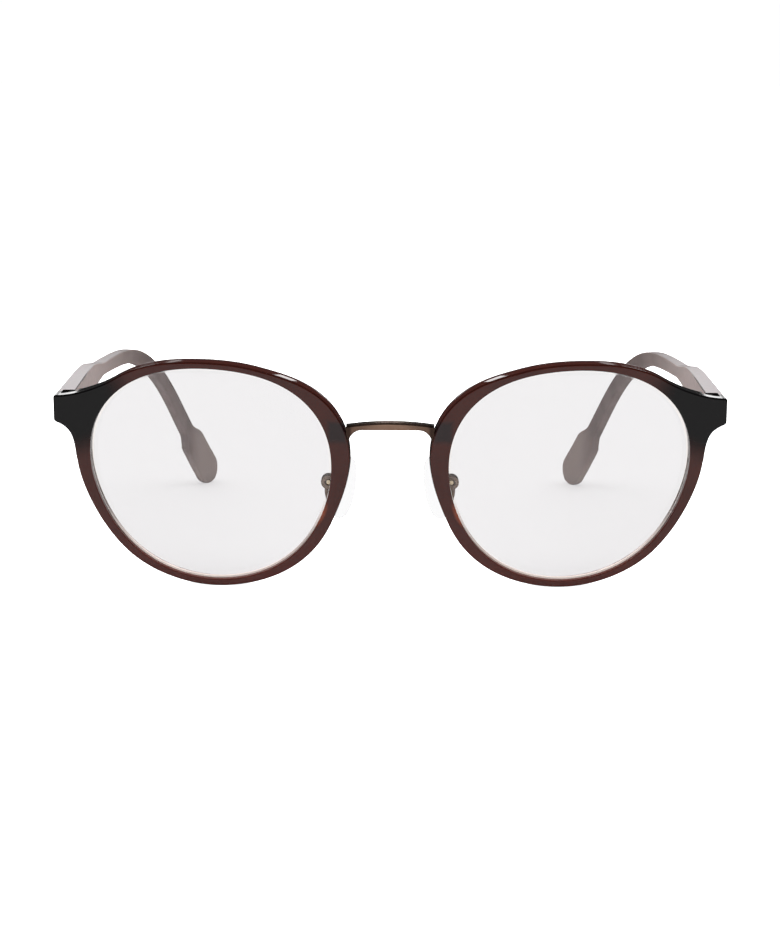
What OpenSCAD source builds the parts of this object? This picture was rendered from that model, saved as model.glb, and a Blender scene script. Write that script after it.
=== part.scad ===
// Round eyeglasses: two lofted plastic rims with end pieces, joined by a metal bridge,
// clear lenses, adjustable nose pads and slim temples that fold on barrel hinges.
// Millimetres, Z up. The front looks along -Y, and X = 0 is the plane of symmetry.
// The glasses stand open on a table at Z = 0, on the rims' lower edges and the temple tips.
// Right and left are the wearer's, so the right-hand pieces lie at negative X.

/* [Lenses] */
// Width of each lens, over the tip of its bevel
lens_w = 49.7; // [46:0.1:54]
// Height of each lens, over the tip of its bevel
lens_h = 44.7; // [41:0.1:49]
// Gap between the two lenses across the nose
lens_gap = 22.5; // [20:0.1:26]
// Fullness of the lens above its middle
lens_crown = 0.031; // [0:0.001:0.05]
// Lift of the lens towards the temple
lens_lift = 0.023; // [0:0.001:0.04]
// Narrowing of the lens towards its foot
lens_taper = 0.031; // [0:0.001:0.05]
// Squareness of the lens corners
lens_square = 0.014; // [0:0.001:0.03]
// Radius of the lens faces
lens_curve = 130; // [110:5:300]
// Thickness of each lens
lens_t = 1.7; // [1.3:0.1:2]
// Depth of the groove that holds a lens
groove_depth = 0.5; // [0.3:0.05:0.6]

/* [Rims] */
// Depth of the rims, front to back
rim_depth = 4; // [3.6:0.1:5]
// Width of the rim above the lens
rim_top = 1.35; // [1:0.05:2]
// Width of the rim below the lens
rim_foot = 1.5; // [1.2:0.05:3]
// Extra width of the rim beside the bridge
rim_nose = 2.4; // [1.8:0.1:3]
// Extra width of the rim beside the nose pads
rim_pad_side = 1.1; // [0.6:0.1:1.6]
// Extra width of the rim at the temple side
rim_cheek = 1.6; // [0.5:0.1:2.5]
// Extra width of the rim at its lower temple corner
rim_corner = 0.35; // [0:0.05:0.8]
// Forward lean of the front, in degrees
front_tilt = 6; // [2:0.5:10]
// Sweep of each rim back towards its temple, in degrees
front_wrap = 4; // [1:0.5:6]

/* [End pieces] */
// Width of the whole front, over the end pieces
front_w = 135.2; // [132:0.1:142]
// Height of each end piece
lug_h = 5.5; // [5.2:0.1:6.4]
// Height of the end pieces' middle above the lens middle
lug_rise = 13; // [10:0.1:14]

/* [Bridge] */
// Height of the bridge bar at its middle
bridge_mid_h = 1.6; // [1.2:0.1:3]
// Height of the bridge bar at its ends
bridge_end_h = 1; // [0.8:0.1:2]
// Depth of the bridge bar, front to back
bridge_depth = 2.4; // [1.6:0.1:3]
// Height of the bridge's lower edge above the lens middle
bridge_rise = 9.9; // [8.8:0.1:10.5]
// Length of the tab that the bridge has inside each rim
tab_len = 2.5; // [1.8:0.1:2.8]
// Height of the tab that the bridge has inside each rim
tab_h = 3.9; // [3:0.1:4.5]

/* [Nose pads] */
// Distance of each pad's screw from the middle of the glasses
pad_x = 12.6; // [12.2:0.1:13.5]
// Height of the pad screws above the lens middle
pad_drop = -2.5; // [-4:0.1:0]
// Distance of the pad screws behind the rims
pad_back = 5.2; // [4.6:0.1:6.5]
// Height of a nose pad
pad_h = 13; // [10:0.5:15]
// Width of a nose pad
pad_w = 7; // [6:0.1:8]
// Thickness of a nose pad
pad_t = 2.8; // [2.2:0.1:3.2]
// Turn of each pad's back edge away from the nose, in degrees
pad_splay = 25; // [15:1:28]
// Lean of each pad's foot away from the nose, in degrees
pad_lean = 12; // [5:1:16]
// Thickness of the pad arm's wire
arm_d = 1; // [0.8:0.05:1.1]

/* [Temples] */
// Length of a temple along its middle, from joint to tip
temple_len = 141; // [135:0.5:155]
// Height of a temple at its joint
butt_h = 5.3; // [5:0.1:6.4]
// Thickness of a temple at its joint
butt_t = 3.5; // [3.2:0.1:4]
// Height of a temple behind its step
slim_h = 2.8; // [2.4:0.1:4]
// Thickness of a temple behind its step
slim_t = 2.8; // [2:0.1:3.2]
// Height of a temple before its tip
ear_h = 4; // [3:0.1:4.6]
// Thickness of a temple before its tip
ear_t = 2.2; // [1.6:0.1:2.6]
// Length of the tall part of a temple, before its step
butt_len = 44; // [30:0.5:48]
// Length of a temple before it bends down behind the ear
bend_start = 69.5; // [64:0.5:76]
// Length of the bend behind the ear
bend_len = 50; // [44:0.5:56]
// Angle of the bend behind the ear, in degrees
bend_angle = 51; // [40:1:55]
// Height of the flat tip
tip_h = 7.8; // [5.6:0.1:8.4]
// Thickness of the flat tip
tip_t = 2; // [1.8:0.1:3]
// Length of the flat tip
tip_len = 18; // [15:0.5:24]

/* [Hinges] */
// Diameter of the hinge barrels
barrel_d = 2.3; // [2:0.1:2.5]
// Diameter of the hinge screws
hinge_screw_d = 1.2; // [1:0.05:1.4]
// Height of the hinge barrels, all three knuckles together
hinge_h = 4.4; // [4:0.1:4.8]
// Gap between a temple's end and its end piece
joint_gap = 0.12; // [0.08:0.02:0.3]

/* [Hidden] */

rim_colour = [0.25, 0.13, 0.12];
lens_colour = [0.93, 0.94, 0.95, 0.4];
metal_colour = [0.45, 0.35, 0.3];
hinge_colour = [0.16, 0.15, 0.15];
gold_colour = [0.8, 0.68, 0.42];
pad_colour = [0.9, 0.9, 0.9, 0.6];
core_colour = [0.75, 0.75, 0.75];
temple_colour = [0.5, 0.44, 0.42];

// Clearances
lens_fit = 0.07;
seat_fit = 0.03;
running_fit = 0.06;
knuckle_gap = 0.08;
big = 40;

// Smooth step from 0 to 1 while t runs from 0 to 1
function smooth(t) = let (c = min(max(t, 0), 1)) c * c * (3 - 2 * c);
// Hump of height 1 at the angle centre, down to 0 at centre - half and centre + half
function hump(a, centre, half) =
    let (d = abs((a - centre + 540) % 360 - 180))
    d < half ? 0.5 + 0.5 * cos(180 * d / half) : 0;
// Point at t on a cubic curve from p to q with handle ends a and b
function curve(p, a, b, q, t) =
    pow(1 - t, 3) * p + 3 * pow(1 - t, 2) * t * a + 3 * (1 - t) * t * t * b + pow(t, 3) * q;
function unit(v) = v / norm(v);
// Unit normal to the right of a step in the plane, outward on a counterclockwise outline
function outward(step) = unit([step.y, -step.x]);

// Outline of a lens about its own middle: x towards the temple, y up, angle from the temple
shape_step = 3;
function lens_shape(a) =
    (1 + lens_crown * sin(a) + lens_lift * sin(2 * a) + lens_taper * sin(3 * a)
        - lens_square * cos(4 * a)) * [cos(a), sin(a)];
shape_x = [for (a = [0 : shape_step : 359]) lens_shape(a).x];
shape_y = [for (a = [0 : shape_step : 359]) lens_shape(a).y];
shape_mid = [max(shape_x) + min(shape_x), max(shape_y) + min(shape_y)] / 2;
shape_scale = [lens_w / (max(shape_x) - min(shape_x)), lens_h / (max(shape_y) - min(shape_y))];
function lens_edge(a) =
    let (p = lens_shape(a) - shape_mid) [p.x * shape_scale.x, p.y * shape_scale.y];
function lens_normal(a) = outward(lens_edge(a + 1) - lens_edge(a - 1));
// Opening of the rim, inside the lens groove
function opening(a) = lens_edge(a) - lens_normal(a) * groove_depth;

// Width of the rim round the lens. Each extra width peaks at its own angle and dies out
// at the second angle on either side of it
nose_span = [158, 47];
pad_side_span = [205, 58];
cheek_span = [21, 63];
corner_span = [321, 40];
function extra(a, width, span) = width * hump(a, span[0], span[1]);
function limb(a) =
    rim_top + (rim_foot - rim_top) * (1 - sin(a)) / 2
    + extra(a, rim_nose, nose_span) + extra(a, rim_pad_side, pad_side_span)
    + extra(a, rim_cheek, cheek_span) + extra(a, rim_corner, corner_span);
function ring_edge(a) = opening(a) + lens_normal(a) * limb(a);
function ring_heading(a) = unit(ring_edge(a + 1) - ring_edge(a - 1));

// End piece: its outline leaves the ring at lug_from and comes back to it at lug_to
lens_x = (lens_gap + lens_w) / 2;
lug_from = 8;
lug_to = 48;
lug_reach = (front_w / 2 - lens_x) / cos(front_wrap);
lug_top = lug_rise + lug_h / 2;
lug_foot = lug_rise - lug_h / 2;
lug_top_r = 0.35;
lug_foot_r = 0.8;
lug_foot_slope = 22;
// Lengths of the handles of the end piece's two curves, from the ring and from its end
lug_foot_pull = [4.4, 3.2];
lug_top_pull = [4.5, 3.4];
lug_foot_centre = [lug_reach - lug_foot_r, lug_foot + lug_foot_r];
lug_top_centre = [lug_reach - lug_top_r, lug_top - lug_top_r];
function arc(centre, r, a) = centre + r * [cos(a), sin(a)];
lug_foot_end = arc(lug_foot_centre, lug_foot_r, lug_foot_slope - 90);
lug_top_end = arc(lug_top_centre, lug_top_r, 90);
curve_n = 8;
lug_outline = concat(
    [for (i = [0 : curve_n - 1]) curve(
        ring_edge(lug_from),
        ring_edge(lug_from) + ring_heading(lug_from) * lug_foot_pull[0],
        lug_foot_end - lug_foot_pull[1] * [cos(lug_foot_slope), sin(lug_foot_slope)],
        lug_foot_end, i / curve_n)],
    [for (a = [lug_foot_slope - 90, (lug_foot_slope - 90) / 2, 0]) arc(lug_foot_centre, lug_foot_r, a)],
    [for (a = [0 : 45 : 90]) arc(lug_top_centre, lug_top_r, a)],
    [for (i = [1 : curve_n]) curve(
        lug_top_end,
        lug_top_end - [lug_top_pull[1], 0],
        ring_edge(lug_to) - ring_heading(lug_to) * lug_top_pull[0],
        ring_edge(lug_to), i / curve_n)]
);
ring_step = 5;
ring_angles = [for (a = [lug_to + ring_step : ring_step : lug_from + 359]) a];
// Outer outline of the rim, and the angles of the points inside it
outer = concat(lug_outline, [for (a = ring_angles) ring_edge(a)]);
angles = concat(
    [for (i = [0 : len(lug_outline) - 1]) lug_from + (lug_to - lug_from) * i / (len(lug_outline) - 1)],
    ring_angles
);
stations = len(outer);
function outer_normal(i) =
    outward(outer[(i + 1) % stations] - outer[(i + stations - 1) % stations]);

// Depth of the lens faces and of the groove, which follow the curve of the lens
function sag(r) = lens_curve - sqrt(lens_curve * lens_curve - r * r);
edge_sag = sag((lens_w + lens_h) / 4);
function groove_y(p) = rim_depth / 2 + sag(norm(p)) - edge_sag;

// Solid through a list of rings that each have as many points, joined to a loop or capped
function middle(ring) = ([for (p = ring) 1] * ring) / len(ring);
module loft(rings, loop = false, tips = []) {
    n = len(rings);
    m = len(rings[0]);
    ends = len(tips) > 0 ? tips : [middle(rings[0]), middle(rings[n - 1])];
    walls = [for (i = [0 : (loop ? n : n - 1) - 1], j = [0 : m - 1])
        let (
            a = i * m + j,
            b = i * m + (j + 1) % m,
            c = ((i + 1) % n) * m + j,
            d = ((i + 1) % n) * m + (j + 1) % m
        ) each [[a, b, d], [a, d, c]]];
    caps = [for (j = [0 : m - 1])
        each [[n * m, (j + 1) % m, j], [n * m + 1, (n - 1) * m + j, (n - 1) * m + (j + 1) % m]]];
    if (loop)
        polyhedron(points = [for (r = rings) each r], faces = walls);
    else
        polyhedron(points = concat([for (r = rings) each r], ends), faces = concat(walls, caps));
}
// Rectangle w by h with round corners of three points each, from x = 0 to w
function rounded(w, h, r) = [for (q = [[1, 1, 0], [0, 1, 90], [0, 0, 180], [1, 0, 270]], a = [0 : 45 : 90])
    [q[0] == 1 ? w - r : r, q[1] == 1 ? h / 2 - r : r - h / 2] + r * [cos(q[2] + a), sin(q[2] + a)]];

front_bevel = 0.3;
back_bevel = 0.25;
// The front leans forward and each rim sweeps back. A place in the left rim's own frame
// is [towards the temple, back from the front face, up from the lens middle].
foot_z = front_bevel * sin(front_tilt)
    + min([for (p = outer) p.x * sin(front_wrap) * sin(front_tilt) + p.y * cos(front_tilt)]);
function on_rim(p) =
    let (
        x = lens_x + p.x * cos(front_wrap) - p.y * sin(front_wrap),
        y = p.x * sin(front_wrap) + p.y * cos(front_wrap)
    )
    [x, y * cos(front_tilt) - p.z * sin(front_tilt),
        y * sin(front_tilt) + p.z * cos(front_tilt) - foot_z];
module rim_frame()
    translate([0, 0, -foot_z]) rotate([front_tilt, 0, 0]) translate([lens_x, 0, 0])
        rotate([0, 0, front_wrap]) children();

// Temple: a path on the side of it that faces the head, walked in short steps
joint = on_rim([lug_reach, rim_depth, lug_rise]);
temple_root = [joint.x - butt_t, joint.y, joint.z];
temple_flare = 1.8;
temple_turn = 30.6;
straight_len = 33;
step_len = 14;
back_shoulder = 5.5;
front_shoulder = 4;
slim_from = butt_len + step_len;
tip_from = temple_len - tip_len;
tip_r = tip_h / 2;
round_from = temple_len - tip_r;
overlap_len = 3;
edge_r = 0.55;
edge_share = 0.45;
droop_len = 6;
function spread(p, q, n) = [for (i = [0 : n - 1]) p + (q - p) * i / n];
steps = concat(
    spread(-overlap_len, butt_len, 6), spread(butt_len, slim_from, 6), spread(slim_from, tip_from, 20),
    spread(tip_from, tip_from + back_shoulder, 8), spread(tip_from + back_shoulder, round_from, 3),
    [for (a = [0 : 17 : 85]) round_from + tip_r * sin(a)]
);
function heading(s) =
    (temple_turn + temple_flare) * max(0, s - straight_len) / (temple_len - straight_len) - temple_flare;
function pitch(s, droop) =
    droop * smooth((s - butt_len) / droop_len) - bend_angle * smooth((s - bend_start) / bend_len);
function along(s, droop) =
    let (h = heading(s), p = pitch(s, droop)) [-sin(h) * cos(p), cos(h) * cos(p), sin(p)];
function inward(s) = let (h = heading(s)) [-cos(h), -sin(h), 0];
function temple_path(droop) = [
    for (i = 0, p = temple_root - overlap_len * along(0, droop); i < len(steps);
        p = i + 1 < len(steps)
            ? p + (steps[i + 1] - steps[i]) * along((steps[i] + steps[i + 1]) / 2, droop) : p,
        i = i + 1) p];
function taper(s, from, to) = min(1, max(0, s - from) / (to - from));
function shoulder(s, length) = (tip_h - ear_h) / 2 * smooth((s - tip_from) / length);
function temple_h(s) =
    s > round_from ? 2 * sqrt(max(0, tip_r * tip_r - pow(s - round_from, 2)))
    : butt_h + (slim_h - butt_h) * smooth((s - butt_len) / step_len)
        + (ear_h - slim_h) * taper(s, slim_from, tip_from)
        + shoulder(s, back_shoulder) + shoulder(s, front_shoulder);
function temple_lift(s) = (shoulder(s, back_shoulder) - shoulder(s, front_shoulder)) / 2;
function temple_t(s) =
    butt_t + (slim_t - butt_t) * taper(s, 0, slim_from) + (ear_t - slim_t) * taper(s, slim_from, tip_from)
        + (tip_t - ear_t) * smooth((s - tip_from) / front_shoulder)
        - tip_t / 4 * smooth((s - round_from) / tip_r);
function temple_ring(s, p, droop) =
    let (
        h = temple_h(s),
        t = temple_t(s),
        side = inward(s),
        up = cross(along(s, droop), side)
    ) [for (q = rounded(t, h, min(edge_r, edge_share * min(t, h))))
        p - q.x * side + (q.y + temple_lift(s)) * up];
function temple_rings(droop) =
    let (path = temple_path(droop)) [for (i = [0 : len(steps) - 1]) temple_ring(steps[i], path[i], droop)];
// Droop that brings the lowest point of the tip down to the table, closed in on in four rounds
function tip_low(droop) = min([for (r = temple_rings(droop), p = r) p.z]);
function settle(droop, rounds) =
    rounds == 0 ? droop
    : settle(droop - tip_low(droop) / ((temple_len - butt_len) * PI / 180), rounds - 1);
temple_droop = settle(0, 4);
temple_solid = temple_rings(temple_droop);

// The pieces are drawn about the pin of the left hinge, then centred front to back
front_y = min([for (p = outer) on_rim([p.x, 0, p.y]).y]);
back_y = max([for (r = temple_solid, p = r) p.y]);
mid_y = (front_y + back_y) / 2;
module left() translate([0, -mid_y, 0]) children();
module right() mirror([1, 0, 0]) left() children();

// Rims
groove_lip = 0.6;
function rim_ring(i) =
    let (
        a = angles[i],
        p = opening(a),
        n = lens_normal(a),
        q = outer[i],
        m = outer_normal(i),
        g = groove_y(lens_edge(a)),
        in = [[back_bevel, 0], [0, back_bevel], [0, g - groove_lip], [groove_depth, g],
            [0, g + groove_lip], [0, rim_depth - back_bevel], [back_bevel, rim_depth]],
        out = [[back_bevel, rim_depth], [0, rim_depth - back_bevel], [0, front_bevel], [front_bevel, 0]]
    ) concat(
        [for (e = in) let (w = p + e[0] * n) [w.x, e[1], w.y]],
        [for (e = out) let (w = q - e[0] * m) [w.x, e[1], w.y]]
    );
arm_angle = 201;
arm_depth = 1.8;
arm_seat = 0.55;
arm_root = opening(arm_angle) + lens_normal(arm_angle) * limb(arm_angle) * arm_seat;
tab_t = 0.9;
tab_skin = 0.35;
tab_edge = ring_edge(163).x;
tab_top = bridge_rise + 0.1;
neck_h = 1.5;
module tab(grow) {
    translate([tab_edge + tab_skin - grow, (rim_depth - tab_t) / 2 - grow, tab_top - tab_h - grow])
        cube([tab_len - tab_skin + 2 * grow, tab_t + 2 * grow, tab_h + 2 * grow]);
    translate([tab_edge - tab_skin, (rim_depth - tab_t) / 2 - grow, tab_top - neck_h - grow])
        cube([3 * tab_skin, tab_t + 2 * grow, neck_h + 2 * grow]);
}
// Slots for the hinges, round the pin: cut into the end piece and into the temple
pin_inset = 3;
pin_back = 0.6;
pin = on_rim([lug_reach - pin_inset, rim_depth + pin_back, lug_rise]);
barrel_r = barrel_d / 2;
hinge_skin = 1;
leaf_t = 0.7;
front_leaf = 2.6;
temple_leaf = 2.2;
slot_out = joint.x - hinge_skin - pin.x;
slot_in = barrel_r + 0.3;
module rim() color(rim_colour) difference() {
    rim_frame() loft([for (i = [0 : stations - 1]) rim_ring(i)], loop = true);
    rim_frame() tab(seat_fit);
    rim_frame() translate([arm_root.x, rim_depth + 1, arm_root.y])
        rotate([90, 0, 0]) cylinder(h = arm_depth + 1, r = arm_d / 2 + seat_fit, $fn = 32);
    translate(pin + [-slot_in, -front_leaf, -big / 2]) cube([slot_in + slot_out, big, big]);
}

// Lenses
lens_zones = [0.35, 0.7];
function lens_ring(share, depth) = [for (a = angles)
    let (p = share * (opening(a) - lens_fit * lens_normal(a)))
    [p.x, rim_depth / 2 + sag(norm(p)) - edge_sag + depth, p.y]];
function bevel_ring(grow, depth) = [for (a = angles)
    let (p = opening(a) + (grow - lens_fit) * lens_normal(a)) [p.x, groove_y(lens_edge(a)) + depth, p.y]];
bevel_half = 0.5;
module lens() color(lens_colour) rim_frame() loft(concat(
    [for (z = lens_zones) lens_ring(z, -lens_t / 2)],
    [lens_ring(1, -lens_t / 2), bevel_ring(0, -bevel_half), bevel_ring(groove_depth, 0),
        bevel_ring(0, bevel_half), lens_ring(1, lens_t / 2)],
    [for (i = [len(lens_zones) - 1 : -1 : 0]) lens_ring(lens_zones[i], lens_t / 2)]
), tips = [for (side = [-1, 1]) [0, rim_depth / 2 - edge_sag + side * lens_t / 2, 0]]);

// Bridge: a bar with an arched top and a fillet under each end, cut to fit the rims
bridge_reach = 10;
gusset = 2.4;
bridge_edge_r = 0.4;
bridge_z = on_rim([tab_edge, 0, bridge_rise]).z;
bridge_y = on_rim([tab_edge, rim_depth / 2, bridge_rise]).y;
bridge_side = on_rim([tab_edge, rim_depth / 2, bridge_rise]).x;
bridge_steps = concat(spread(-bridge_side, gusset - bridge_side, 5),
    spread(gusset - bridge_side, bridge_side - gusset, 8), spread(bridge_side - gusset, bridge_side, 5));
function bridge_ring(x) =
    let (
        q = min(1, abs(x) / bridge_side),
        f = min(1, max(0, abs(x) - bridge_side + gusset) / gusset),
        low = -gusset * (1 - sqrt(1 - f * f)),
        top = bridge_end_h + (bridge_mid_h - bridge_end_h) * (1 - q * q)
    ) [for (p = rounded(bridge_depth, top - low, bridge_edge_r))
        [x, bridge_depth / 2 - p.x, p.y + (top + low) / 2]];
module bridge() {
    color(metal_colour) {
        difference() {
            left() translate([0, bridge_y, bridge_z]) rotate([front_tilt, 0, 0])
                loft(concat([bridge_ring(-bridge_reach)], [for (x = bridge_steps) bridge_ring(x)],
                    [bridge_ring(bridge_side), bridge_ring(bridge_reach)]));
            left() rim_blank();
            right() rim_blank();
        }
        left() rim_frame() tab(0);
        right() rim_frame() tab(0);
    }
}
module rim_blank() rim_frame() translate([0, 2 * rim_depth, 0]) rotate([90, 0, 0])
    linear_extrude(3 * rim_depth)
        polygon([for (i = [0 : stations - 1]) outer[i] + seat_fit * outer_normal(i)]);

// Nose pads: a wire arm ends in a box with two round cheeks, and the pad's tongue rocks
// on a screw between them
cheek_r = 1.5;
cheek_t = 0.75;
tongue_t = 1;
tongue_r = 0.85;
tongue_gap = 0.1;
box_w = 2 * (cheek_t + tongue_gap) + tongue_t;
web_from = 1;
stem_sink = 0.25;
pad_screw_d = 1;
pad_head_d = 1.6;
pad_head_h = 0.4;
plate_set = 2.6;
plate_t = 0.6;
plate_w = 2.6;
plate_h = 4.2;
plate_sink = 0.4;
pad_sink = 0.9;
pad_u = (pad_x - lens_x) / cos(front_wrap);
pad_seat = on_rim([pad_u, rim_depth, pad_drop]);
pad_pivot = [pad_x, pad_seat.y + pad_back, pad_seat.z];
module across(h, r, fn = 48) rotate([90, 0, 0]) cylinder(h = h, r = r, center = true, $fn = fn);
arm_rise = 0.6;
arm_pull = 4;
arm_in = on_rim([arm_root.x, rim_depth - arm_depth + seat_fit, arm_root.y]);
arm_out = on_rim([arm_root.x, rim_depth + arm_rise, arm_root.y]);
arm_way = unit(arm_out - arm_in);
arm_end = pad_pivot + [0.3, 0, -1.4];
arm_points = concat([arm_in], [for (i = [0 : 9])
    curve(arm_out, arm_out + arm_pull * arm_way, arm_end + [0.1, 0.3, -2], arm_end, i / 9)]);
function arm_ring(i) =
    let (
        n = len(arm_points),
        t = unit(arm_points[min(i + 1, n - 1)] - arm_points[max(i - 1, 0)]),
        u = unit(cross(t, [1, 0, 0])),
        v = cross(u, t)
    ) [for (a = [0 : 45 : 315]) arm_points[i] + arm_d / 2 * (cos(a) * u + sin(a) * v)];
module pad_arm() color(metal_colour) {
    loft([for (i = [0 : len(arm_points) - 1]) arm_ring(i)]);
    translate(pad_pivot) difference() {
        across(box_w, cheek_r);
        rotate([0, 45, 0]) translate([web_from - big, -tongue_t / 2 - tongue_gap, -big / 2])
            cube([big, tongue_t + 2 * tongue_gap, big]);
        across(box_w + 1, pad_screw_d / 2 + seat_fit);
    }
}
module pad_screw() color(gold_colour) translate(pad_pivot) {
    across(box_w, pad_screw_d / 2);
    translate([0, box_w / 2 + pad_head_h / 2, 0]) across(pad_head_h, pad_head_d / 2);
}
module pad_frame() translate(pad_pivot) rotate([0, 0, -pad_splay]) rotate([0, -pad_lean, 0])
    translate([-plate_set, 0, 0]) children();
module plate(grow) translate([-plate_t - grow, -plate_w / 2 - grow, -plate_h / 2 - plate_sink - grow])
    cube([plate_t + 2 * grow, plate_w + 2 * grow, plate_h + 2 * grow]);
module pad_core() color(core_colour) {
    difference() {
        translate(pad_pivot) {
            across(tongue_t, tongue_r);
            translate([-plate_set - stem_sink, -tongue_t / 2, -tongue_r])
                cube([plate_set + stem_sink, tongue_t, 2 * tongue_r]);
        }
        translate(pad_pivot) across(tongue_t + 1, pad_screw_d / 2 + running_fit);
    }
    pad_frame() plate(0);
}
pad_egg = 0.14;
pad_zones = [[0.8, 0], [0.97, 0.22], [1, 0.45], [0.9, 0.8], [0.62, 0.96], [0.3, 1]];
module nose_pad() color(pad_colour) pad_frame() difference() {
    translate([0, 0, -pad_sink]) loft([for (z = pad_zones) [for (a = [0 : 18 : 342])
        [-pad_t * z[1], z[0] * pad_w / 2 * cos(a) * (1 - pad_egg * sin(a)), z[0] * pad_h / 2 * sin(a)]]]);
    plate(seat_fit);
    translate([0, -plate_w / 2 - seat_fit, -plate_h / 2 - plate_sink - seat_fit])
        cube([1, plate_w + 2 * seat_fit, plate_h + 2 * seat_fit]);
}

// Hinges: a leaf with two knuckles in the end piece, a leaf with one in the temple
knuckle_h = hinge_h / 3;
web_w = 1.4;
module knuckle(from, to) translate([0, 0, from]) cylinder(h = to - from, r = barrel_r, $fn = 48);
module hinge_bore(fit)
    cylinder(h = hinge_h + 1, r = hinge_screw_d / 2 + fit, center = true, $fn = 48);
module front_hinge() color(hinge_colour) translate(pin) difference() {
    union() {
        translate([-barrel_r, -front_leaf, -hinge_h / 2])
            cube([barrel_r + slot_out - seat_fit, leaf_t, hinge_h]);
        for (side = [0, 1]) mirror([0, 0, side]) {
            knuckle(knuckle_h / 2, hinge_h / 2);
            translate([-web_w / 2, -front_leaf + leaf_t / 2, knuckle_h / 2])
                cube([web_w, front_leaf - leaf_t / 2, knuckle_h]);
        }
    }
    hinge_bore(seat_fit);
}
module temple_hinge() color(hinge_colour) translate(pin) difference() {
    union() {
        translate([temple_root.x - pin.x + seat_fit, temple_leaf - leaf_t, -hinge_h / 2])
            cube([slot_out - (temple_root.x - pin.x) - 2 * seat_fit, leaf_t, hinge_h]);
        knuckle(knuckle_gap - knuckle_h / 2, knuckle_h / 2 - knuckle_gap);
        translate([-web_w / 2, 0, knuckle_gap - knuckle_h / 2])
            cube([web_w, temple_leaf - leaf_t / 2, knuckle_h - 2 * knuckle_gap]);
    }
    hinge_bore(running_fit);
}
screw_head_d = 1.9;
screw_head_h = 0.35;
module hinge_screw() color(gold_colour) translate(pin) {
    translate([0, 0, -hinge_h / 2]) cylinder(h = hinge_h, r = hinge_screw_d / 2, $fn = 48);
    translate([0, 0, hinge_h / 2]) cylinder(h = screw_head_h, r = screw_head_d / 2, $fn = 48);
}
module temple() color(temple_colour) difference() {
    loft(temple_solid);
    rim_frame() translate([0, -big, -big]) cube([2 * big, big + rim_depth + joint_gap, 2 * big]);
    translate(pin + [-big, -big, -big / 2]) cube([big + slot_out, big + temple_leaf, big]);
}

module rim_right() right() rim();
module rim_left() left() rim();
module lens_right() right() lens();
module lens_left() left() lens();
module pad_arm_right() right() pad_arm();
module pad_arm_left() left() pad_arm();
module pad_screw_right() right() pad_screw();
module pad_screw_left() left() pad_screw();
module pad_core_right() right() pad_core();
module pad_core_left() left() pad_core();
module nose_pad_right() right() nose_pad();
module nose_pad_left() left() nose_pad();
module front_hinge_right() right() front_hinge();
module front_hinge_left() left() front_hinge();
module temple_hinge_right() right() temple_hinge();
module temple_hinge_left() left() temple_hinge();
module hinge_screw_right() right() hinge_screw();
module hinge_screw_left() left() hinge_screw();
module temple_right() right() temple();
module temple_left() left() temple();

rim_right();
rim_left();
lens_right();
lens_left();
bridge();
pad_arm_right();
pad_arm_left();
pad_screw_right();
pad_screw_left();
pad_core_right();
pad_core_left();
nose_pad_right();
nose_pad_left();
front_hinge_right();
front_hinge_left();
temple_hinge_right();
temple_hinge_left();
hinge_screw_right();
hinge_screw_left();
temple_right();
temple_left();
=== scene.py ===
"""Round eyeglasses: the looks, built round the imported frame. The sizes below are in millimetres,
and a mesh becomes metres when it is made. Z is up, the front looks along -Y."""

import math

import bmesh
import bpy
from mathutils import Matrix, Vector


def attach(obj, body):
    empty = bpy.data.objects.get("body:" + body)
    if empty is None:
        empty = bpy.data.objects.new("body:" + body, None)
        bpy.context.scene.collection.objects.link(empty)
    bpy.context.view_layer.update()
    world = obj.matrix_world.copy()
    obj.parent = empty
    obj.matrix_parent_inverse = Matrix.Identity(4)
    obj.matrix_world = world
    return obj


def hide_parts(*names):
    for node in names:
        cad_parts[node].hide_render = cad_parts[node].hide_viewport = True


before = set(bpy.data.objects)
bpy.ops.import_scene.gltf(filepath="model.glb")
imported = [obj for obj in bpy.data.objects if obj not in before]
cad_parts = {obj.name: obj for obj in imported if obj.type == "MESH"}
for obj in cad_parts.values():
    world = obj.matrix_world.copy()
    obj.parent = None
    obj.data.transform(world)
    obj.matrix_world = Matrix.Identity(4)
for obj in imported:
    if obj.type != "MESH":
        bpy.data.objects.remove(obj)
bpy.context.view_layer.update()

MM = 0.001
SIDES = {"left": 1, "right": -1}
THROUGH = 20  # how far a cutter reaches past what it cuts


# Numbers and plane curves ---------------------------------------------------------------------

def cosd(a):
    return math.cos(math.radians(a))


def sind(a):
    return math.sin(math.radians(a))


def clamp(t):
    return min(max(t, 0.0), 1.0)


def smooth(t):
    c = clamp(t)
    return c * c * (3 - 2 * c)


def taper(s, start, end):
    return clamp((s - start) / (end - start))


def hump(a, centre, half):
    d = abs((a - centre + 540) % 360 - 180)
    return 0.5 + 0.5 * cosd(180 * d / half) if d < half else 0.0


def bezier(p, a, b, q, t):
    return (1 - t) ** 3 * p + 3 * (1 - t) ** 2 * t * a + 3 * (1 - t) * t * t * b + t ** 3 * q


def outward(step):
    return Vector((step[1], -step[0])).normalized()


def arc(centre, r, a):
    return Vector(centre) + r * Vector((cosd(a), sind(a)))


def spread(p, q, n):
    return [p + (q - p) * i / n for i in range(n)]


def quarter(r):
    """Quarter circle that rounds a corner by r, as pairs of distances from its two sides."""
    return [(r * (1 - sind(t)), r * (1 - cosd(t))) for t in range(0, 91, 18)]


def turn(axis, degrees):
    return Matrix.Rotation(math.radians(degrees), 3, axis)


# Lens and rim, in the left rim's own plane: x towards the temple, y up ------------------------

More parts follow.
